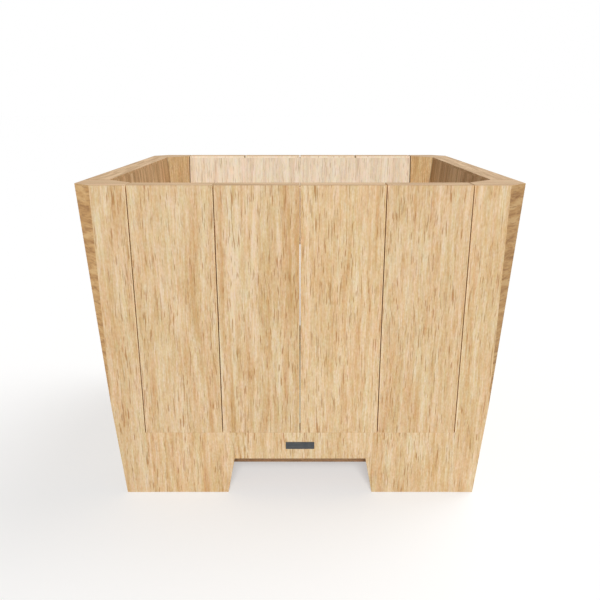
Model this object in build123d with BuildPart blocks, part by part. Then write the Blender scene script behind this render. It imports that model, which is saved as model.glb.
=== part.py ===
from build123d import *
import os

# Square hardwood planter box whose walls lean outwards: four corner posts, four boarded walls
# standing on a plinth of rails and foot blocks, and a slatted floor that carries a steel tray.
# Millimetres, +Z up. The origin is on the ground under the middle of the planter. The front wall
# faces -Y, and the other walls follow it anticlockwise as seen from above.

# Overall size
HEIGHT = 620.0
RIM_WIDTH = 800.0
BASE_WIDTH = 694.0
WALL = 46.0  # thickness of posts, boards and plinth, measured level
LEAN = (RIM_WIDTH - BASE_WIDTH) / 2 / HEIGHT  # how far a face moves out per mm of height

# Wall boards
BOARDS_PER_WALL = 4
BOARD_PITCH = 150.75
BOARD_GAP = 2.2
EASE = 0.8  # rounding of the boards' edges and of the rim
FINE_EASE = 0.6  # rounding of every other sawn edge
POST_JOINT = BOARDS_PER_WALL * BOARD_PITCH / 2  # middle of the gap between outer board and post
BOARDS_END = POST_JOINT - BOARD_GAP / 2

# Corner posts
CHAMFER = 35.0  # legs of the corner chamfer at the rim
CHAMFER_LENGTH = 434.0  # height over which the chamfer runs out to nothing

# Plinth
PLINTH_TOP = 136.0
PLINTH_BOTTOM = 77.6
CUTOUT_TOP_HALF = 129.4  # half width of the opening between the feet, under the rail
CUTOUT_GROUND_HALF = 144.0

# Top rails, let in flush with the boards' inner faces
RAIL_TOP = HEIGHT - 5.0
RAIL_HEIGHT = 104.0
RAIL_THICKNESS = 26.0

# Floor
LEDGER_BOTTOM = 45.0
LEDGER_HEIGHT = 36.0
LEDGER_INNER_HALF = 268.0  # the ledgers' inner faces, from the middle of the planter
LEDGER_END_GAP = 1.0
FLOOR_BOTTOM = LEDGER_BOTTOM + LEDGER_HEIGHT
FLOOR_THICKNESS = 18.0
FLOOR_TOP = FLOOR_BOTTOM + FLOOR_THICKNESS
FLOOR_HALF = 296.0
FLOOR_BOARDS = 5
FLOOR_GAP = 6.0
FLOOR_PITCH = (2 * FLOOR_HALF + FLOOR_GAP) / FLOOR_BOARDS

# Tray
TRAY_HALF = 294.0
TRAY_HEIGHT = 6.0
TRAY_CORNER = 12.0
TRAY_SHEET = 1.5
DRAIN_DIAMETER = 12.0
DRAIN_COLUMNS = 4
DRAIN_COLUMN_PITCH = 140.0

# Dowels
DOWEL = 10.0
DOWEL_LENGTH = 60.0
SHORT_DOWEL_LENGTH = 40.0
BOARD_DOWELS = (30.0, 85.0, 190.0, 262.0)  # distances along a wall from its middle
PLINTH_DOWEL_HEIGHTS = (92.0, 120.0)
FOOT_DOWEL_HEIGHTS = (40.0, 100.0)
POST_DOWEL_HEIGHTS = (200.0, 330.0, 460.0)

# Countersunk screws: thread diameter, head diameter and length
RAIL_SCREW = (4.0, 8.0, 40.0)
LEDGER_SCREW = (5.0, 10.0, 60.0)
FLOOR_SCREW = (4.0, 8.0, 35.0)
SOCKET_RATIO = 0.45  # width of the hexagon socket as a share of the head
SOCKET_DEPTH_RATIO = 0.22
RAIL_SCREW_HEIGHT = 530.0
RAIL_SCREW_INSET = 35.0  # from a board's edge
LEDGER_SCREWS = (170.0, 250.0)
FLOOR_SCREW_HALF = 282.0
FLOOR_SCREW_SPACING = 70.0

# Nameplate on the front rail
PLATE_WIDTH = 56.0
PLATE_HEIGHT = 15.0
PLATE_THICKNESS = 1.2
PLATE_CORNER = 1.0
PLATE_CENTRE = 107.6
PIN_SPACING = 46.0
PIN = 2.0
PIN_HEAD = 3.2
PIN_HEAD_HEIGHT = 0.6
PIN_LENGTH = 10.0

WALLS = {"front": 0, "right": 90, "rear": 180, "left": 270}
CORNERS = {"front_right": 0, "rear_right": 90, "rear_left": 180, "front_left": 270}


def half_width(height):
    """Distance from the middle of the planter to a wall's outer face at a height."""
    return RIM_WIDTH / 2 - LEAN * (HEIGHT - height)


def run_direction(turn):
    """Direction along the wall that stands `turn` degrees round from the front."""
    return Vector(1, 0, 0).rotate(Axis.Z, turn)


def inward_direction(turn):
    """Level direction from a wall into the planter."""
    return Vector(0, 1, 0).rotate(Axis.Z, turn)


def wall_section(turn, along=0.0):
    """Upright plane square to a wall: its x axis points inwards and its y axis up."""
    run = run_direction(turn)
    return Plane(origin=run * along, x_dir=inward_direction(turn), z_dir=run)


def wall_point(height, depth=0.0):
    """Point of a wall section at a height, `depth` level mm in from the outer face."""
    return (depth - half_width(height), height)


def leaning_plane(turn, height, depth):
    """Plane square to the wall's lean, so that its normal runs up the boards."""
    origin = wall_section(turn).from_local_coords(wall_point(height, depth))
    uphill = Vector(0, 0, 1) - inward_direction(turn) * LEAN
    return Plane(origin=origin, x_dir=run_direction(turn), z_dir=uphill)


def face_plane(turn, height, depth, along=0.0):
    """Plane parallel to the wall's faces, with its normal pointing out of the planter."""
    origin = wall_section(turn, along).from_local_coords(wall_point(height, depth))
    outward = Vector(0, 0, -LEAN) - inward_direction(turn)
    return Plane(origin=origin, x_dir=run_direction(turn), z_dir=outward)


def finish(solid, label):
    """Name a finished piece and write it."""
    solid.label = label
    export_step(solid, f"parts/{label}.step")


def outer_face(part, turn):
    """The face of a wall piece that looks out of the planter."""
    inward = Axis((0, 0, 0), inward_direction(turn))
    return part.faces().filter_by(face_plane(turn, 0, 0)).sort_by(inward)[0]


def dowels_along(heights, distance, length):
    """Dowels that lie along the walls, on both sides of the middle of each wall."""
    with BuildPart() as dowels:
        for turn in WALLS.values():
            for side in (-1, 1):
                with BuildSketch(wall_section(turn, side * distance)):
                    with Locations(*[wall_point(height, WALL / 2) for height in heights]):
                        Circle(DOWEL / 2)
                extrude(amount=length / 2, both=True)
    return dowels.part


def countersunk_screws(planes, size):
    """Screws whose heads are flush with the given planes, and which point along their normals."""
    thread, head, length = size
    head_depth = (head - thread) / 2
    with BuildPart() as screws:
        for plane in planes:
            with BuildSketch(plane):
                Circle(head / 2)
            extrude(amount=head_depth, taper=45)
            with BuildSketch(plane):
                Circle(thread / 2)
            extrude(amount=length)
    with BuildPart() as sockets:
        for plane in planes:
            with BuildSketch(plane):
                RegularPolygon(head * SOCKET_RATIO / 2, 6, major_radius=False)
            extrude(amount=head * SOCKET_DEPTH_RATIO)
    return screws.part, sockets.part


os.makedirs("parts", exist_ok=True)

rail_near = WALL - RAIL_THICKNESS  # depth at which the boards' housings end
rail_bottom = RAIL_TOP - RAIL_HEIGHT

# Dowels ------------------------------------------------------------------------------------
# The boards stand on the plinth on dowels that follow the lean.
with BuildPart() as board_dowels:
    for wall_turn in WALLS.values():
        with BuildSketch(leaning_plane(wall_turn, PLINTH_TOP, WALL / 2)):
            with Locations(*[(side * distance, 0) for distance in BOARD_DOWELS for side in (-1, 1)]):
                Circle(DOWEL / 2)
        extrude(amount=DOWEL_LENGTH / 2, both=True)

plinth_dowels = dowels_along(PLINTH_DOWEL_HEIGHTS, CUTOUT_TOP_HALF, DOWEL_LENGTH)
foot_dowels = dowels_along(FOOT_DOWEL_HEIGHTS, BOARDS_END, SHORT_DOWEL_LENGTH)
post_dowels = dowels_along(POST_DOWEL_HEIGHTS, POST_JOINT, SHORT_DOWEL_LENGTH)

# Screws ------------------------------------------------------------------------------------
rail_screw_places = []
ledger_screw_places = []
for wall_turn in WALLS.values():
    for number in range(BOARDS_PER_WALL):
        board_middle = (number - (BOARDS_PER_WALL - 1) / 2) * BOARD_PITCH
        for side in (-1, 1):
            place = board_middle + side * (BOARD_PITCH / 2 - RAIL_SCREW_INSET)
            rail_screw_places.append(face_plane(wall_turn, RAIL_SCREW_HEIGHT, WALL, place))
    for distance in LEDGER_SCREWS:
        for side in (-1, 1):
            height = LEDGER_BOTTOM + LEDGER_HEIGHT / 2
            origin = wall_section(wall_turn, side * distance).from_local_coords(
                (-LEDGER_INNER_HALF, height)
            )
            ledger_screw_places.append(Plane(origin=origin, z_dir=-inward_direction(wall_turn)))

floor_screw_places = [
    Plane(origin=(side * FLOOR_SCREW_HALF, row * FLOOR_PITCH + offset, FLOOR_TOP), z_dir=(0, 0, -1))
    for row in range(-(FLOOR_BOARDS // 2), FLOOR_BOARDS // 2 + 1)
    for offset in (-FLOOR_SCREW_SPACING / 2, FLOOR_SCREW_SPACING / 2)
    for side in (-1, 1)
]

rail_screws, rail_sockets = countersunk_screws(rail_screw_places, RAIL_SCREW)
ledger_screws, ledger_sockets = countersunk_screws(ledger_screw_places, LEDGER_SCREW)
floor_screws, floor_sockets = countersunk_screws(floor_screw_places, FLOOR_SCREW)

for screws, sockets, name in (
    (rail_screws, rail_sockets, "top_rail_screws"),
    (ledger_screws, ledger_sockets, "ledger_screws"),
    (floor_screws, floor_sockets, "floor_screws"),
):
    finish(screws - sockets, name)

for dowels, name in (
    (board_dowels.part, "board_dowels"),
    (plinth_dowels, "plinth_dowels"),
    (foot_dowels, "foot_dowels"),
    (post_dowels, "post_dowels"),
):
    finish(dowels, name)


# Corner posts ------------------------------------------------------------------------------
def post_stock(turn, low, high, seat):
    """A length of corner post, whose side faces stand `seat` from the middle of the planter."""
    with BuildPart() as stock:
        for section, mode in (
            (wall_section(turn, seat), Mode.ADD),
            (wall_section(turn + 90, -RIM_WIDTH / 2), Mode.INTERSECT),
        ):
            with BuildSketch(section):
                with BuildLine():
                    Polyline(wall_point(low), (-seat, low), (-seat, high), wall_point(high), close=True)
                make_face()
            extrude(amount=RIM_WIDTH / 2 - seat, mode=mode)
        # The face that crosses the inside of the corner.
        inner_corner = Vector(POST_JOINT, WALL - RIM_WIDTH / 2, HEIGHT).rotate(Axis.Z, turn)
        inner_normal = Vector(1, -1, -LEAN).rotate(Axis.Z, turn)
        split(bisect_by=Plane(origin=inner_corner, z_dir=inner_normal), keep=Keep.TOP)
        # The chamfer, which runs out to nothing down the outside of the corner.
        outer_corner = Vector(RIM_WIDTH / 2 - CHAMFER, -RIM_WIDTH / 2, HEIGHT).rotate(Axis.Z, turn)
        chamfer_slope = 2 * LEAN - CHAMFER / CHAMFER_LENGTH
        outer_normal = Vector(1, -1, -chamfer_slope).rotate(Axis.Z, turn)
        if high > HEIGHT - CHAMFER_LENGTH:
            split(bisect_by=Plane(origin=outer_corner, z_dir=outer_normal), keep=Keep.BOTTOM)
    return stock.part


for corner, corner_turn in CORNERS.items():
    with BuildPart() as post:
        add(post_stock(corner_turn, PLINTH_TOP, HEIGHT, POST_JOINT + BOARD_GAP / 2))
        rim_edges = post.faces().sort_by(Axis.Z)[-1].edges()
        gap_edges = [
            outer_face(post, corner_turn).edges().sort_by(Axis((0, 0, 0), run_direction(corner_turn)))[0],
            outer_face(post, corner_turn + 90).edges().sort_by(
                Axis((0, 0, 0), run_direction(corner_turn + 90)))[-1],
        ]
        fillet(rim_edges + gap_edges, EASE)
        add(post_stock(corner_turn, 0, PLINTH_TOP, BOARDS_END))
        add(foot_dowels, mode=Mode.SUBTRACT)
        add(post_dowels, mode=Mode.SUBTRACT)
    finish(post.part, f"corner_post_{corner}")


# Walls -------------------------------------------------------------------------------------
def wall_strip(turn, start, end, profile):
    """A piece of constant section that lies along a wall between two distances."""
    with BuildPart() as strip:
        with BuildSketch(wall_section(turn, start)):
            with BuildLine():
                Polyline(*profile, close=True)
            make_face()
        extrude(amount=end - start)
    return strip.part


def upright_profile(low, high, near=0.0):
    """Section of a leaning piece between two heights, from a depth to the inner face."""
    return [wall_point(low, near), wall_point(high, near), wall_point(high, WALL), wall_point(low, WALL)]


ledger_profile = [
    wall_point(LEDGER_BOTTOM, WALL),
    wall_point(FLOOR_BOTTOM, WALL),
    (-LEDGER_INNER_HALF, FLOOR_BOTTOM),
    (-LEDGER_INNER_HALF, LEDGER_BOTTOM),
]

with BuildPart() as nameplate:
    with BuildSketch(face_plane(WALLS["front"], PLATE_CENTRE, 0)):
        RectangleRounded(PLATE_WIDTH, PLATE_HEIGHT, PLATE_CORNER)
    extrude(amount=PLATE_THICKNESS)

with BuildPart() as nameplate_pins:
    with BuildSketch(face_plane(WALLS["front"], PLATE_CENTRE, 0).offset(PLATE_THICKNESS)):
        with GridLocations(PIN_SPACING, 0, 2, 1):
            Circle(PIN_HEAD / 2)
    extrude(amount=PIN_HEAD_HEIGHT, taper=30)
    with BuildSketch(face_plane(WALLS["front"], PLATE_CENTRE, 0).offset(PLATE_THICKNESS)):
        with GridLocations(PIN_SPACING, 0, 2, 1):
            Circle(PIN / 2)
    extrude(amount=-PIN_LENGTH)

finish(nameplate.part - nameplate_pins.part, "nameplate")
finish(nameplate_pins.part, "nameplate_pins")

for wall, wall_turn in WALLS.items():
    # The rail that ties the boards together under the rim, in a housing across their inner faces.
    rail_space = wall_strip(wall_turn, -BOARDS_END, BOARDS_END,
                            upright_profile(rail_bottom, RAIL_TOP, rail_near))
    with BuildPart() as top_rail:
        add(rail_space)
        fillet(top_rail.faces().sort_by(Axis.Z)[0].edges(), FINE_EASE)
        add(rail_screws, mode=Mode.SUBTRACT)
    finish(top_rail.part, f"{wall}_top_rail")

    # The boards, numbered along the wall.
    for number in range(BOARDS_PER_WALL):
        start = number * BOARD_PITCH - BOARDS_END
        with BuildPart() as board:
            add(wall_strip(wall_turn, start, start + BOARD_PITCH - BOARD_GAP,
                           upright_profile(PLINTH_TOP, HEIGHT)))
            foot_edges = board.faces().sort_by(Axis.Z)[0].edges()
            fillet(board.edges() - foot_edges, EASE)
            add(rail_space, mode=Mode.SUBTRACT)
            add(board_dowels.part, mode=Mode.SUBTRACT)
            add(post_dowels, mode=Mode.SUBTRACT)
            add(rail_screws, mode=Mode.SUBTRACT)
        finish(board.part, f"{wall}_board_{number + 1}")

    # The plinth rail between the feet.
    with BuildPart() as plinth_rail:
        add(wall_strip(wall_turn, -CUTOUT_TOP_HALF, CUTOUT_TOP_HALF,
                       upright_profile(PLINTH_BOTTOM, PLINTH_TOP)))
        fillet(plinth_rail.edges(), FINE_EASE)
        add(board_dowels.part, mode=Mode.SUBTRACT)
        add(plinth_dowels, mode=Mode.SUBTRACT)
        if wall == "front":
            add(nameplate_pins.part, mode=Mode.SUBTRACT)
    finish(plinth_rail.part, f"{wall}_plinth_rail")

    # The two foot blocks, each with a slanted edge beside the opening.
    for number, side in ((1, -1), (2, 1)):
        start, end = sorted((side * CUTOUT_TOP_HALF, side * BOARDS_END))
        slant_origin = run_direction(wall_turn) * side * CUTOUT_TOP_HALF + Vector(0, 0, PLINTH_BOTTOM)
        slant_rise = (CUTOUT_GROUND_HALF - CUTOUT_TOP_HALF) / PLINTH_BOTTOM
        slant_normal = run_direction(wall_turn) * side + Vector(0, 0, slant_rise)
        with BuildPart() as foot:
            add(wall_strip(wall_turn, start, end, upright_profile(0, PLINTH_TOP)))
            split(bisect_by=Plane(origin=slant_origin, z_dir=slant_normal), keep=Keep.TOP)
            fillet(foot.edges(), FINE_EASE)
            for group in (board_dowels.part, plinth_dowels, foot_dowels, ledger_screws):
                add(group, mode=Mode.SUBTRACT)
        finish(foot.part, f"{wall}_foot_{number}")

    # The ledger that carries the floor. The side ledgers fit between the front and rear ones.
    ledger_end = BOARDS_END if wall in ("front", "rear") else LEDGER_INNER_HALF - LEDGER_END_GAP
    with BuildPart() as ledger:
        add(wall_strip(wall_turn, -ledger_end, ledger_end, ledger_profile))
        fillet(ledger.edges(), FINE_EASE)
        add(ledger_screws, mode=Mode.SUBTRACT)
        add(floor_screws, mode=Mode.SUBTRACT)
    finish(ledger.part, f"{wall}_floor_ledger")

# Floor -------------------------------------------------------------------------------------
for number in range(FLOOR_BOARDS):
    row = number - FLOOR_BOARDS // 2
    with BuildPart() as floor_board:
        with BuildSketch(Plane.XY.offset(FLOOR_BOTTOM)):
            with Locations((0, row * FLOOR_PITCH)):
                Rectangle(2 * FLOOR_HALF, FLOOR_PITCH - FLOOR_GAP)
        extrude(amount=FLOOR_THICKNESS)
        fillet(floor_board.edges(), FINE_EASE)
        add(floor_screws, mode=Mode.SUBTRACT)
    finish(floor_board.part, f"floor_board_{number + 1}")

# The tray is a shallow pan with a row of drain holes over each gap between the floor boards.
with BuildPart() as drip_tray:
    with BuildSketch(Plane.XY.offset(FLOOR_TOP)):
        RectangleRounded(2 * TRAY_HALF, 2 * TRAY_HALF, TRAY_CORNER)
    extrude(amount=TRAY_HEIGHT)
    offset(amount=-TRAY_SHEET, openings=drip_tray.faces().sort_by(Axis.Z)[-1])
    with BuildSketch(Plane.XY.offset(FLOOR_TOP)):
        with GridLocations(DRAIN_COLUMN_PITCH, FLOOR_PITCH, DRAIN_COLUMNS, FLOOR_BOARDS - 1):
            Circle(DRAIN_DIAMETER / 2)
    extrude(amount=TRAY_SHEET, mode=Mode.SUBTRACT)
finish(drip_tray.part, "drip_tray")
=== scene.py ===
import math
import random

import bpy
from mathutils import Matrix, Vector


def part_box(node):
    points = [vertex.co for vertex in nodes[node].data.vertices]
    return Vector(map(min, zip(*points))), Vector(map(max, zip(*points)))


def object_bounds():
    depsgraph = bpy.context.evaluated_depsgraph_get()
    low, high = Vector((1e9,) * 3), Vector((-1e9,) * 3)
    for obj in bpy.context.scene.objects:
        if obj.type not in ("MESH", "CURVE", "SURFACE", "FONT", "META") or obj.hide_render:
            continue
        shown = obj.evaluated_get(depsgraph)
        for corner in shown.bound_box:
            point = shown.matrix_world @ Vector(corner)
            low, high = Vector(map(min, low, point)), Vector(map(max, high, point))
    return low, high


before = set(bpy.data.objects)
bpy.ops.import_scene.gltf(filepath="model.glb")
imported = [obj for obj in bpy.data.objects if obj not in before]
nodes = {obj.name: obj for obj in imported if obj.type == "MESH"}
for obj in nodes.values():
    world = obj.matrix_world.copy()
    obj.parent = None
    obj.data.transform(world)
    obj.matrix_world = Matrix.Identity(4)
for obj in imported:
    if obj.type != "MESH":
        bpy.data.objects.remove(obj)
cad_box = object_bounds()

# Looks of a square hardwood planter: oiled light hardwood boards, posts and plinth, rough-sawn floor
# timber, a galvanised tray, stainless screws and a small slate-grey nameplate. Painted light lightens
# the insides of the front and rear walls, and painted shade darkens the insides of the side walls.
# Metres, +Z up. The planter stands on the ground with its front facing -Y.

low, high = cad_box
HEIGHT = high.z - low.z
CENTRE = (low + high) / 2
RIM_HALF = high.x

# How far the walls lean out per metre of height, from the rim and the top of a foot
foot_low, foot_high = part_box("front_foot_1")
LEAN = (RIM_HALF + foot_low.y) / (HEIGHT - foot_high.z)

WALLS = {"front": 0, "right": 90, "rear": 180, "left": 270}  # turn about Z, in degrees
CORNERS = {"front_right": (1, -1), "rear_right": (1, 1), "rear_left": (-1, 1), "front_left": (-1, -1)}
BOARDS_PER_WALL = 4
FLOOR_BOARDS = 5


# --------------------------------------------------------------------------- camera, light, floor

CAMERA_DISTANCE = 1.716
CAMERA_PITCH = math.radians(15)
CAMERA_AIM = CENTRE - Vector((0, 0, 0.0021))
FIELD_OF_VIEW = math.radians(45)
SENSOR_WIDTH = 36  # mm
AMBIENT = 0.33
BACKDROP = 1.0  # brightness of the backdrop, which the lit floor meets
FLOOR_RADIUS = 60
FLOOR_GREY = 0.51
FLOOR_GLOW = 0.45  # light of its own, which keeps the shadows on the floor faint
KEY_LAMP = {"azimuth": 2, "elevation": 30, "spread": 14, "power": 2.35}
BACK_LAMP = {"azimuth": 125, "elevation": 48, "spread": 50, "power": 1.6}
LAMP_DISTANCE = 5  # only the direction of a sun lamp matters
WHITE = (1, 1, 1, 1)


def aim(thing, place, target):
    """Puts a camera or a lamp at a place and points it at a target."""
    thing.location = place
    thing.rotation_euler = (Vector(target) - Vector(place)).to_track_quat("-Z", "Y").to_euler()


def add_camera():
    """A camera in front of the planter and above its rim, aimed just below its centre."""
    data = bpy.data.cameras.new("camera")
    data.sensor_width = SENSOR_WIDTH
    data.lens = data.sensor_width / 2 / math.tan(FIELD_OF_VIEW / 2)
    camera = bpy.data.objects.new("camera", data)
    bpy.context.scene.collection.objects.link(camera)
    back = Vector((0, -math.cos(CAMERA_PITCH), math.sin(CAMERA_PITCH)))
    aim(camera, CAMERA_AIM + back * CAMERA_DISTANCE, CAMERA_AIM)
    bpy.context.scene.camera = camera


def add_lamp(name, azimuth, elevation, spread, power):
    """A sun lamp, with its angles in degrees. Azimuth 0 lights the front and 90 the right side."""
    data = bpy.data.lights.new(name, "SUN")
    data.angle = math.radians(spread)
    data.energy = power
    lamp = bpy.data.objects.new(name, data)
    bpy.context.scene.collection.objects.link(lamp)
    round_z = math.radians(azimuth)
    up = math.radians(elevation)
    towards = Vector((math.sin(round_z) * math.cos(up), -math.cos(round_z) * math.cos(up), math.sin(up)))
    aim(lamp, CENTRE + towards * LAMP_DISTANCE, CENTRE)


def add_backdrop():
    """White where the camera sees it, and a dimmer even light on everything else."""
    world = bpy.data.worlds.new("studio")
    world.use_nodes = True
    bpy.context.scene.world = world
    tree = world.node_tree
    ambient = tree.nodes["Background"]
    ambient.inputs["Color"].default_value = WHITE
    ambient.inputs["Strength"].default_value = AMBIENT
    backdrop = tree.nodes.new("ShaderNodeBackground")
    backdrop.inputs["Color"].default_value = WHITE
    backdrop.inputs["Strength"].default_value = BACKDROP
    path = tree.nodes.new("ShaderNodeLightPath")
    mix = tree.nodes.new("ShaderNodeMixShader")
    tree.links.new(path.outputs["Is Camera Ray"], mix.inputs[0])
    tree.links.new(ambient.outputs[0], mix.inputs[1])
    tree.links.new(backdrop.outputs[0], mix.inputs[2])
    tree.links.new(mix.outputs[0], tree.nodes["World Output"].inputs["Surface"])


def add_floor():
    """A pale floor that runs out of sight into the backdrop."""
    bpy.ops.mesh.primitive_circle_add(vertices=96, radius=FLOOR_RADIUS, fill_type="NGON",
                                      location=(0, 0, low.z))
    floor = bpy.context.object
    floor.name = "studio_floor"
    paint = bpy.data.materials.new("floor_paint")
    paint.use_nodes = True
    surface = paint.node_tree.nodes["Principled BSDF"]
    surface.inputs["Base Color"].default_value = (FLOOR_GREY, FLOOR_GREY, FLOOR_GREY, 1)
    surface.inputs["Emission Color"].default_value = WHITE
    surface.inputs["Emission Strength"].default_value = FLOOR_GLOW
    surface.inputs["Roughness"].default_value = 0.9
    surface.inputs["Specular IOR Level"].default_value = 0.1
    floor.data.materials.append(paint)


# --------------------------------------------------------------------------- shader building

class Shader:
    """A material's node tree, with one short call for each kind of node."""

    def __init__(self, name, **constants):
        self.material = bpy.data.materials.new(name)
        self.material.use_nodes = True
        self.tree = self.material.node_tree
        self.surface = self.tree.nodes["Principled BSDF"]
        for key, value in constants.items():
            self.surface.inputs[key.replace("_", " ")].default_value = value
        self.place = self.node("TexCoord").outputs["Object"]
        self.normal = self.node("NewGeometry").outputs["Normal"]

    def node(self, kind, *values, **settings):
        """Adds a node; values go to its inputs in order, as sockets or constants."""
        made = self.tree.nodes.new("ShaderNode" + kind)
        for key, value in settings.items():
            setattr(made, key, value)
        for socket, value in zip(made.inputs, values):
            self.feed(socket, value)
        return made

    def feed(self, socket, value):
        """Links a socket to an input, or sets the input to a constant, or leaves it as it is."""
        if isinstance(value, bpy.types.NodeSocket):
            self.tree.links.new(value, socket)
        elif value is not None:
            socket.default_value = value

    def math(self, operation, a, b, c=0.0):
        return self.node("Math", a, b, c, operation=operation).outputs[0]

    def vector(self, operation, a, b=None, c=None, scale=None):
        return self.node("VectorMath", a, b, c, scale, operation=operation).outputs[0]

    def dot(self, a, b):
        return self.node("VectorMath", a, b, operation="DOT_PRODUCT").outputs["Value"]

    def space(self, vector, size, turn=(0, 0, 0), shift=(0, 0, 0)):
        """Coordinates in which a feature of the given size, in metres, is one unit long."""
        return self.node("Mapping", vector, shift, turn, size, vector_type="TEXTURE").outputs[0]

    def noise(self, vector, detail=2.0, rough=0.5, twist=0.0):
        """Noise with features one unit long; its outputs are a value and a colour."""
        made = self.node("TexNoise", vector)
        for key, value in {"Scale": 1.0, "Detail": detail, "Roughness": rough, "Distortion": twist}.items():
            made.inputs[key].default_value = value
        return made.outputs

    def ramp(self, value, *stops):
        """Colour ramp; each stop is (position, colour or grey)."""
        made = self.node("ValToRGB", value)
        elements = made.color_ramp.elements
        while len(elements) < len(stops):
            elements.new(0.5)
        for element, (position, colour) in zip(elements, stops):
            element.position = position
            element.color = (*colour, 1) if isinstance(colour, tuple) else (colour, colour, colour, 1)
        return made.outputs["Color"]

    def mix(self, share, a, b, mode="MIX"):
        """Mixes colours a and b; share is how much of b there is."""
        made = self.tree.nodes.new("ShaderNodeMix")
        made.data_type = "RGBA"
        made.blend_type = mode
        for index, value in ((0, share), (6, a), (7, b)):
            self.feed(made.inputs[index], (*value, 1) if isinstance(value, tuple) else value)
        return made.outputs[2]

    def spread(self, value, start, end):
        """0 below start, 1 above end, and smooth in between."""
        made = self.node("MapRange", value, start, end, 0.0, 1.0, interpolation_type="SMOOTHSTEP")
        return made.outputs[0]

    def bump(self, height, distance):
        """Normals of a surface that rises by distance, in metres, as height goes from 0 to 1."""
        made = self.node("Bump")
        made.inputs["Strength"].default_value = 1.0
        made.inputs["Distance"].default_value = distance
        self.feed(made.inputs["Height"], height)
        return made.outputs[0]

    def finish(self, colour, roughness, normal):
        for key, value in (("Base Color", colour), ("Roughness", roughness), ("Normal", normal)):
            self.feed(self.surface.inputs[key], value)
        return self.material


# --------------------------------------------------------------------------- timber

# Feature sizes across, into and along the grain, in metres
WANDER = (0.09, 0.09, 0.34)
BANDS = (0.016, 0.016, 0.30)
STREAKS = (0.0042, 0.0042, 0.070)
FIBRES = (0.0011, 0.0011, 0.024)
GRIT = (0.0026, 0.0026, 0.0055)
HUES = (0.0040, 0.0040, 0.020)
FLECKS = (0.0020, 0.0020, 0.036)
CLUSTERS = (0.05, 0.05, 0.20)
CAST = (0.018, 0.018, 0.16)
RIPPLES = (0.050, 0.050, 0.013)
RIPPLE_LINES = (0.022, 0.022, 0.0032)
SAW_MARKS = (0.20, 0.20, 0.0022)
PORES = (0.0011, 0.0011, 0.0011)
GROWTH = (0.16, 0.009, 0.16)

# Shares of the parts of the tone; the share of the bands is the strength of the figure
STREAK_SHARE = 0.285
FIBRE_SHARE = 0.23
GRIT_SHARE = 0.155
RING_SHARE = 0.05
PLAIN = 0.16
FIGURED = 0.36
STRONGLY_FIGURED = 0.45
TONE_STOPS = (0.40, 0.50, 0.60)  # tones at which the colour is dark, middle and light
RIPPLE_STOPS = (0.34, 0.48, 0.62)

WANDER_REACH = 0.012  # how far the grain strays from straight, in metres
RING_WIDTH = 0.0034
RING_WAVE = 2 * math.pi / 20  # a ring texture's own period
PITH_DEPTH = 0.30  # usual distance of a piece from the middle of its tree
PITH_RANGE = (0.8, 1.5)  # shares of that distance
PITH_ASIDE = 0.05
FLECK_LIMIT = 0.71  # noise above this makes a fleck; clusters bring the limit down
CLUSTERING = 0.16
FLECK_SOFTNESS = 0.07
FLECK_STRENGTH = 0.78
HUE_RANGE = (0.19, 0.0, 0.36)  # how far red and blue stray from green
ROSY = (1.015, 0.98, 0.975)
STRAW = (0.99, 1.015, 1.0)
RIM_EDGE_SHADE_SHARE = 0.6  # how far the eased edges take the painted edge shade
PLANED_RELIEF = 0.00035
SAWN_RELIEF = 0.0011

# Cosines of the angle to a direction: where a face begins to count as looking that way, and
# where it fully does
FACE_LIMITS = (0.75, 0.95)
CUT_LIMITS = (0.55, 0.80)
RIM_LIMITS = (0.80, 0.95)
CHAMFER_LIMITS = (0.85, 0.97)

# Colours of each timber, from its darkest streak to its lightest, then its flecks and end grain
OILED = {
    "dark": (0.475, 0.286, 0.122),
    "middle": (0.560, 0.398, 0.222),
    "light": (0.640, 0.508, 0.340),
    "fleck": (0.340, 0.158, 0.048),
    "end": (0.740, 0.525, 0.320),
    "ring": (0.480, 0.305, 0.160),
}
# Plinth rails: the oiled timber with darker end grain, painted shade on their undersides
PLINTH_SHADED_ENDS = dict(OILED, end=(0.530, 0.350, 0.190), ring=(0.400, 0.245, 0.125))
# Top rails of the front and rear walls: painted light, paler than the oiled timber
LIT_RAIL = {
    "dark": (0.715, 0.575, 0.420),
    "middle": (0.795, 0.662, 0.500),
    "light": (0.850, 0.735, 0.580),
    "fleck": (0.560, 0.400, 0.260),
    "end": (0.640, 0.500, 0.350),
    "ring": (0.540, 0.400, 0.270),
}
# Insides of the side walls and their top rails: painted shade, deeper and redder than the oiled timber
SHADED_INSIDE = {
    "dark": (0.430, 0.225, 0.085),
    "middle": (0.610, 0.372, 0.172),
    "light": (0.780, 0.530, 0.290),
    "fleck": (0.360, 0.180, 0.075),
    "end": (0.560, 0.395, 0.245),
    "ring": (0.455, 0.305, 0.180),
}
# Floor boards and ledgers: rough-sawn timber, darkened further as painted shade where the ledgers show
# under the plinth rails
SAWN_AND_SHADED = {
    "dark": (0.245, 0.130, 0.061),
    "middle": (0.330, 0.186, 0.092),
    "light": (0.400, 0.240, 0.128),
    "fleck": (0.150, 0.075, 0.034),
    "end": (0.285, 0.160, 0.082),
    "ring": (0.200, 0.106, 0.050),
}
# Painted light on the faces beside the gaps of the front wall, and on the rear left post's edge in
# the rear wall, lighter to make up for the shade in the gaps
LIT_GAP_EDGE = {
    "dark": (0.820, 0.560, 0.305),
    "middle": (0.900, 0.680, 0.415),
    "light": (0.940, 0.760, 0.520),
    "fleck": (0.640, 0.400, 0.200),
}
# Painted shade on the edges beside the other gaps, which shows them as dark lines
SHADED_GAP_EDGE = {
    "dark": (0.330, 0.200, 0.095),
    "middle": (0.400, 0.265, 0.140),
    "light": (0.470, 0.340, 0.200),
    "fleck": (0.240, 0.130, 0.055),
}
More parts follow.
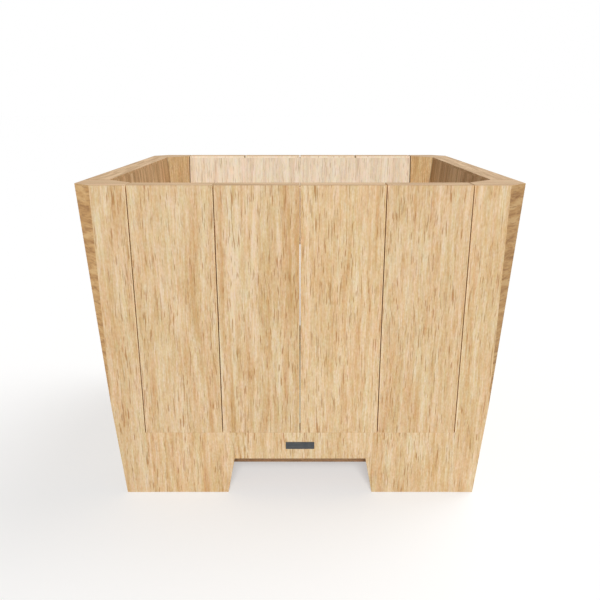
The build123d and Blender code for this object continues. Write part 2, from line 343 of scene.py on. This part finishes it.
# Painted light on the insides of the front and rear boards
LIT_BOARD_INSIDE = {
    "dark": (0.790, 0.640, 0.460),
    "middle": (0.860, 0.730, 0.560),
    "light": (0.900, 0.790, 0.640),
    "fleck": (0.600, 0.430, 0.270),
}
# Outer faces of the top rails, which show through the gaps: painted light that makes up for the shade in
# the gaps
LIT_SLOT = {
    "dark": (0.880, 0.680, 0.450),
    "middle": (0.930, 0.760, 0.540),
    "light": (0.950, 0.820, 0.620),
    "fleck": (0.700, 0.500, 0.300),
}
# Faces of the posts across the inside of the corners: painted light, lighter and redder than the posts'
# outer faces
LIT_CORNER = {
    "dark": (0.540, 0.315, 0.130),
    "middle": (0.700, 0.460, 0.225),
    "light": (0.850, 0.640, 0.380),
    "fleck": (0.420, 0.215, 0.080),
}
# Chamfers, which cut across the figure
RIPPLE = {
    "dark": (0.375, 0.190, 0.062),
    "middle": (0.520, 0.292, 0.104),
    "light": (0.620, 0.392, 0.168),
    "fleck": (0.270, 0.120, 0.035),
}
RIM_EDGE_SHADE = (0.300, 0.175, 0.085)  # painted shade on the eased edges of the rim, which dulls their highlight
# Tone of each post's chamfer and of its inner face: painted light and shade, as if lit from the front left
POST_PAINTED_TONES = {
    "front_right": (0.75, 1.0),
    "rear_right": (0.90, 1.06),
    "rear_left": (0.90, 0.90),
    "front_left": (0.95, 1.0),
}


def grain_frame(along, across):
    """Euler angles that lay x across the grain, y into the timber and z along the grain."""
    along = Vector(along).normalized()
    across = (Vector(across) - along * along.dot(Vector(across))).normalized()
    into = along.cross(across)
    return tuple(Matrix((across, into, along)).transposed().to_euler())


class Timber(Shader):
    """Solid wood. Each pattern in it starts from a random place of its own, drawn in the order in
    which the patterns are made."""

    def __init__(self, name, along, across, centre, seed, lean):
        super().__init__(name, Specular_IOR_Level=0.35)
        self.chance = random.Random(seed)
        self.along = Vector(along).normalized()
        across = Vector(across).normalized()
        self.turn = grain_frame(self.along, across)
        depth = self.chance.choice((-1, 1)) * PITH_DEPTH * self.chance.uniform(*PITH_RANGE)
        aside = self.chance.uniform(-PITH_ASIDE, PITH_ASIDE)
        pith = Vector(centre) + self.along.cross(across) * depth + across * aside
        self.grown = self.wandering(self.upright(lean) if lean else self.place)
        self.bands = self.grain(BANDS, detail=1)[0]
        self.streaks = self.grain(STREAKS, detail=4, rough=0.62)[0]
        self.fibres = self.grain(FIBRES, detail=2, rough=0.6)[0]
        self.grit = self.grain(GRIT, detail=1)[0]
        self.rings = self.growth_rings(pith)
        self.vessels = self.vessel_lines()
        self.marked = self.math("MULTIPLY", self.vessels, FLECK_STRENGTH)

    def grain(self, size, detail=2.0, rough=0.5, twist=0.0, place=None):
        """Noise drawn out along the grain, from a place of its own in the tree."""
        shift = tuple(self.chance.uniform(-9, 9) for _ in range(3))
        place = self.grown if place is None else place
        return self.noise(self.space(place, size, self.turn, shift), detail, rough, twist)

    def facing(self, direction, limits):
        """1 on faces that look along a direction, 0 elsewhere."""
        return self.spread(self.dot(self.normal, tuple(Vector(direction).normalized())), *limits)

    def upright(self, lean):
        """Coordinates in which the outer faces of a leaning post stand upright."""
        height = self.node("SeparateXYZ", self.place).outputs[2]
        reach = self.vector("MULTIPLY", self.vector("ABSOLUTE", self.normal), lean)
        reach = self.vector("SCALE", reach, scale=height)
        return self.vector("SUBTRACT", self.place, reach)

    def wandering(self, place):
        """Coordinates in which the grain wanders gently from side to side."""
        drift = self.grain(WANDER, place=place)["Color"]
        drift = self.vector("SUBTRACT", drift, (0.5, 0.5, 0.5))
        drift = self.vector("MULTIPLY", drift, (WANDER_REACH, WANDER_REACH, WANDER_REACH))
        return self.vector("ADD", place, drift)

    def growth_rings(self, pith):
        rings = self.node("TexWave", self.space(self.grown, (1, 1, 1), self.turn, tuple(pith)),
                          wave_type="RINGS", rings_direction="Z")
        for key, value in {"Scale": RING_WAVE / RING_WIDTH, "Distortion": 1.5, "Detail": 2.0,
                           "Detail Scale": 0.35}.items():
            rings.inputs[key].default_value = value
        return rings.outputs[1]

    def vessel_lines(self):
        """Short lines, gathered in loose clusters: 1 on a line, 0 elsewhere."""
        flecks = self.grain(FLECKS, detail=1)[0]
        clusters = self.grain(CLUSTERS, detail=1)[0]
        limit = self.math("MULTIPLY_ADD", clusters, -CLUSTERING, FLECK_LIMIT)
        return self.spread(self.math("SUBTRACT", flecks, limit), 0.0, FLECK_SOFTNESS)

    def tone(self, figure):
        """From 0, dark, to 1, light. Figure is the strength of the broad bands."""
        shares = ((self.streaks, STREAK_SHARE), (self.bands, figure), (self.fibres, FIBRE_SHARE),
                  (self.grit, GRIT_SHARE), (self.rings, RING_SHARE))
        value = 0.5 - sum(share for _, share in shares) / 2
        for part, share in shares:
            value = self.math("MULTIPLY_ADD", part, share, value)
        return value

    def graded(self, value, palette, stops):
        """Colour of a value, from a palette's dark through its middle to its light."""
        return self.ramp(value, *zip(stops, (palette["dark"], palette["middle"], palette["light"])))

    def flecked(self, value, palette):
        """Colour of a tone, with the vessel lines over it."""
        return self.mix(self.marked, self.graded(value, palette, TONE_STOPS), palette["fleck"])

    def hue_drifts(self, lightness):
        """A broad and a fine drift between rosy and straw, as colours to multiply by."""
        cast = self.grain(CAST, detail=1)[0]
        cast = self.ramp(cast, *((stop, tuple(part * lightness for part in colour))
                                 for stop, colour in ((0.35, ROSY), (0.65, STRAW))))
        hues = self.grain(HUES, detail=1)["Color"]
        hues = self.vector("MULTIPLY_ADD", hues, HUE_RANGE, tuple(1 - reach / 2 for reach in HUE_RANGE))
        return cast, hues

    def end_grain(self, palette):
        """The ends of the rings and of the vessels."""
        pores = self.grain(PORES, detail=1)[0]
        growth = self.grain(GROWTH, detail=2)[0]
        value = self.math("MULTIPLY_ADD", pores, 0.30, self.math("MULTIPLY", self.rings, 0.20))
        value = self.math("MULTIPLY_ADD", growth, 1.2, self.math("SUBTRACT", value, 0.35))
        return self.ramp(value, (0.32, palette["ring"]), (0.68, palette["end"]))

    def rippled(self, palette):
        """Curly figure with fine darker lines, on a face cut across it."""
        waves = self.grain(RIPPLES, detail=3, rough=0.62, twist=0.5, place=self.place)[0]
        lines = self.grain(RIPPLE_LINES, detail=2, rough=0.55, twist=0.4, place=self.place)[0]
        lines = self.math("MULTIPLY", self.spread(lines, 0.54, 0.66), 0.55)
        return self.mix(lines, self.graded(waves, palette, RIPPLE_STOPS), palette["fleck"])


def timber(name, colours, along, across, centre, seed, faces=(), worn=(), lean=None, ripple=None,
           sawn=False, lightness=1.0, figure=PLAIN):
    """Wood whose grain runs along `along`. `faces` pairs directions with the colours, painted light and
    shade among them, of the faces that look that way; the eased edges listed next get painted shade;
    `ripple` pairs the direction of a face cut across the figure with its colours, and sawn timber keeps its
    saw marks."""
    wood = Timber(name, along, across, centre, seed, lean)
    value = wood.tone(figure)
    colour = wood.flecked(value, colours)
    # Faces with painted light and shade, such as gap edges and insides
    for direction, palette in faces:
        colour = wood.mix(wood.facing(direction, FACE_LIMITS), colour, wood.flecked(value, palette))
    cast, hues = wood.hue_drifts(lightness)
    colour = wood.mix(1.0, colour, cast, "MULTIPLY")
    colour = wood.mix(1.0, colour, hues, "MULTIPLY")

    cut = wood.math("MAXIMUM", wood.facing(wood.along, CUT_LIMITS), wood.facing(-wood.along, CUT_LIMITS))
    colour = wood.mix(cut, colour, wood.mix(1.0, wood.end_grain(colours), cast, "MULTIPLY"))
    # Painted shade along the eased edges of the rim and of the gaps there
    for direction in worn:
        edge = wood.math("MULTIPLY", wood.facing(direction, RIM_LIMITS), RIM_EDGE_SHADE_SHARE)
        colour = wood.mix(edge, colour, RIM_EDGE_SHADE)
    if ripple:
        direction, palette = ripple
        colour = wood.mix(wood.facing(direction, CHAMFER_LIMITS), colour, wood.rippled(palette))

    height = wood.math("MULTIPLY_ADD", wood.fibres, 0.5, wood.math("MULTIPLY", wood.vessels, -0.8))
    height = wood.math("MULTIPLY_ADD", wood.streaks, 0.5, height)
    if sawn:
        marks = wood.grain(SAW_MARKS, place=wood.place)[0]
        height = wood.math("MULTIPLY_ADD", marks, 1.6, height)
        colour = wood.mix(1.0, colour, wood.ramp(marks, (0.3, 0.86), (0.7, 1.0)), "MULTIPLY")
    roughness = wood.math("MULTIPLY_ADD", wood.streaks, -0.20, 0.90 if sawn else 0.68)
    roughness = wood.math("MULTIPLY_ADD", wood.vessels, 0.12, roughness)
    return wood.finish(colour, roughness, wood.bump(height, SAWN_RELIEF if sawn else PLANED_RELIEF))


# --------------------------------------------------------------------------- metal

def cube(size):
    """Size of a feature that is as long as it is wide and deep, in metres."""
    return (size, size, size)


def galvanised_steel():
    """Hot-dipped sheet with its flat patchwork of zinc crystals."""
    shader = Shader("galvanised_sheet", Metallic=0.85)
    crystals = shader.node("TexVoronoi", shader.space(shader.place, cube(0.013)))
    grey = shader.node("SeparateColor", crystals.outputs["Color"]).outputs[0]
    haze = shader.noise(shader.space(shader.place, cube(0.09)), detail=3)[0]
    tone = shader.math("MULTIPLY_ADD", haze, 0.6, shader.math("MULTIPLY", grey, 0.4))
    colour = shader.ramp(tone, (0.25, (0.40, 0.46, 0.44)), (0.75, (0.62, 0.70, 0.67)))
    roughness = shader.math("MULTIPLY_ADD", grey, 0.22, 0.34)
    return shader.finish(colour, roughness, shader.bump(haze, 0.0006))


def stainless_steel():
    """Screw heads: turned steel, a little dulled."""
    shader = Shader("stainless_steel", Metallic=1.0)
    scuffs = shader.noise(shader.space(shader.place, cube(0.0006)), detail=3)[0]
    colour = shader.ramp(scuffs, (0.3, (0.46, 0.46, 0.45)), (0.7, (0.60, 0.60, 0.59)))
    roughness = shader.math("MULTIPLY_ADD", scuffs, 0.25, 0.22)
    return shader.finish(colour, roughness, shader.bump(scuffs, 0.00004))


def powder_coat():
    """Slate-grey coating with a fine orange peel."""
    shader = Shader("slate_powder_coat", Specular_IOR_Level=0.4)
    peel = shader.noise(shader.space(shader.place, cube(0.0008)), detail=1)[0]
    patches = shader.noise(shader.space(shader.place, (0.012, 0.012, 0.006)), detail=2)[0]
    colour = shader.ramp(patches, (0.3, (0.039, 0.046, 0.053)), (0.7, (0.057, 0.061, 0.064)))
    roughness = shader.math("MULTIPLY_ADD", peel, 0.15, 0.42)
    return shader.finish(colour, roughness, shader.bump(peel, 0.00008))


# --------------------------------------------------------------------------- dressing the pieces

ALONG_X = (1, 0, 0)
ALONG_Y = (0, 1, 0)
UP = (0, 0, 1)
FIGURED_BOARD = 2  # the board of each wall with the boldest figure
POST_SEED = 10
WALL_SEED = 20
WALL_SEED_STEP = 10
FLOOR_SEED = 60
DOWEL_SEED = 70
LIGHTNESS_SEED = 500
LIGHTNESS_RANGE = (0.975, 1.02)


def wall_directions(turn):
    """Run of a wall, the level direction into the planter, and the direction up the wall."""
    spin = Matrix.Rotation(math.radians(turn), 3, "Z")
    run = spin @ Vector((1, 0, 0))
    inward = spin @ Vector((0, 1, 0))
    return run, inward, Vector((0, 0, 1)) - inward * LEAN


def middle(name):
    """Middle of a piece's box."""
    lowest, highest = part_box(name)
    return (lowest + highest) / 2


def dress(name, material):
    """Puts a material in every slot of a piece."""
    for slot in nodes[name].material_slots:
        slot.material = material


def dress_timber(name, colours, along, across, seed, **options):
    """Gives a piece wood of its own, a little lighter or darker than its neighbours'."""
    lightness = random.Random(seed + LIGHTNESS_SEED).uniform(*LIGHTNESS_RANGE)
    wood = timber(f"{name}_wood", colours, along, across, middle(name), seed, lightness=lightness,
                  **options)
    dress(name, wood)


def shade(palette, tone):
    """A palette made darker or lighter throughout."""
    return {key: tuple(part * tone for part in colour) for key, colour in palette.items()}


def dress_posts():
    """The corner posts. Their edges, inner faces and chamfers carry painted light and shade, and the
    chamfers a rippled figure.
    """
    for number, (corner, (x, y)) in enumerate(CORNERS.items()):
        chamfer_tone, inner_tone = POST_PAINTED_TONES[corner]
        # Painted light on a post's edge in the front wall's gap and on the rear left post's edge in the
        # rear wall, painted shade on its other gap edges
        edge = SHADED_GAP_EDGE if corner == "rear_right" else LIT_GAP_EDGE
        faces = (((-x, 0, 0), edge), ((0, -y, 0), SHADED_GAP_EDGE), ((-x, y, 0), edge), ((x, -y, 0), SHADED_GAP_EDGE),
                 ((-x, -y, 0), shade(LIT_CORNER, inner_tone)))
        dress_timber(f"corner_post_{corner}", OILED, UP, ALONG_X, POST_SEED + number, faces=faces,
                     worn=((-x, 0, 1), (0, -y, 1), (x, 0, 1), (0, y, 1)), lean=(x * LEAN, y * LEAN, 0),
                     ripple=((x, y, 0), shade(RIPPLE, chamfer_tone)))


def dress_wall(wall, turn, seed):
    """Boards, rails and feet of one wall, with its floor ledger."""
    run, inward, uphill = wall_directions(turn)
    # Painted light on the insides of the front and rear walls, painted shade on those of the side walls
    lit_inside = wall in ("front", "rear")
    # Painted light on the front wall's gap edges, painted shade on the others
    edge = LIT_GAP_EDGE if wall == "front" else SHADED_GAP_EDGE
    faces = ((run, edge), (-run, edge), (run - inward, edge), (-run - inward, edge),
             (inward, LIT_BOARD_INSIDE if lit_inside else SHADED_INSIDE))
    # Painted shade along the boards' eased top edges
    worn = tuple(side + Vector(UP) for side in (run, -run, -inward))
    for number in range(1, BOARDS_PER_WALL + 1):
        dress_timber(f"{wall}_board_{number}", OILED, uphill, run, seed + number, faces=faces, worn=worn,
                     figure=FIGURED if number == FIGURED_BOARD else PLAIN)
    dress_timber(f"{wall}_top_rail", LIT_RAIL if lit_inside else SHADED_INSIDE, uphill, run, seed + 5,
                 faces=((-inward, LIT_SLOT),), figure=STRONGLY_FIGURED)
    dress_timber(f"{wall}_plinth_rail", PLINTH_SHADED_ENDS, uphill, run, seed + 6)
    dress_timber(f"{wall}_foot_1", OILED, uphill, run, seed + 7)
    dress_timber(f"{wall}_foot_2", OILED, uphill, run, seed + 8)
    # Rough-sawn ledger, darkened further as painted shade under the plinth rail
    dress_timber(f"{wall}_floor_ledger", SAWN_AND_SHADED, run, UP, seed + 9, sawn=True)


def dress_floor():
    for number in range(1, FLOOR_BOARDS + 1):
        dress_timber(f"floor_board_{number}", SAWN_AND_SHADED, ALONG_X, ALONG_Y, FLOOR_SEED + number, sawn=True)
    dress("drip_tray", galvanised_steel())


def dress_fixings():
    steel = stainless_steel()
    coat = powder_coat()
    dowels = sorted(name for name in nodes if name.endswith("_dowels"))
    for number, name in enumerate(dowels):
        dress_timber(name, OILED, UP, ALONG_X, DOWEL_SEED + number)
    for name in nodes:
        if name.endswith("_screws"):
            dress(name, steel)
    for name in ("nameplate", "nameplate_pins"):
        dress(name, coat)


add_camera()
add_backdrop()
add_floor()
add_lamp("key", **KEY_LAMP)
add_lamp("back", **BACK_LAMP)
dress_posts()
for wall_number, (wall_name, wall_turn) in enumerate(WALLS.items()):
    dress_wall(wall_name, wall_turn, WALL_SEED + WALL_SEED_STEP * wall_number)
dress_floor()
dress_fixings()
bpy.context.scene.view_settings.view_transform = "Standard"
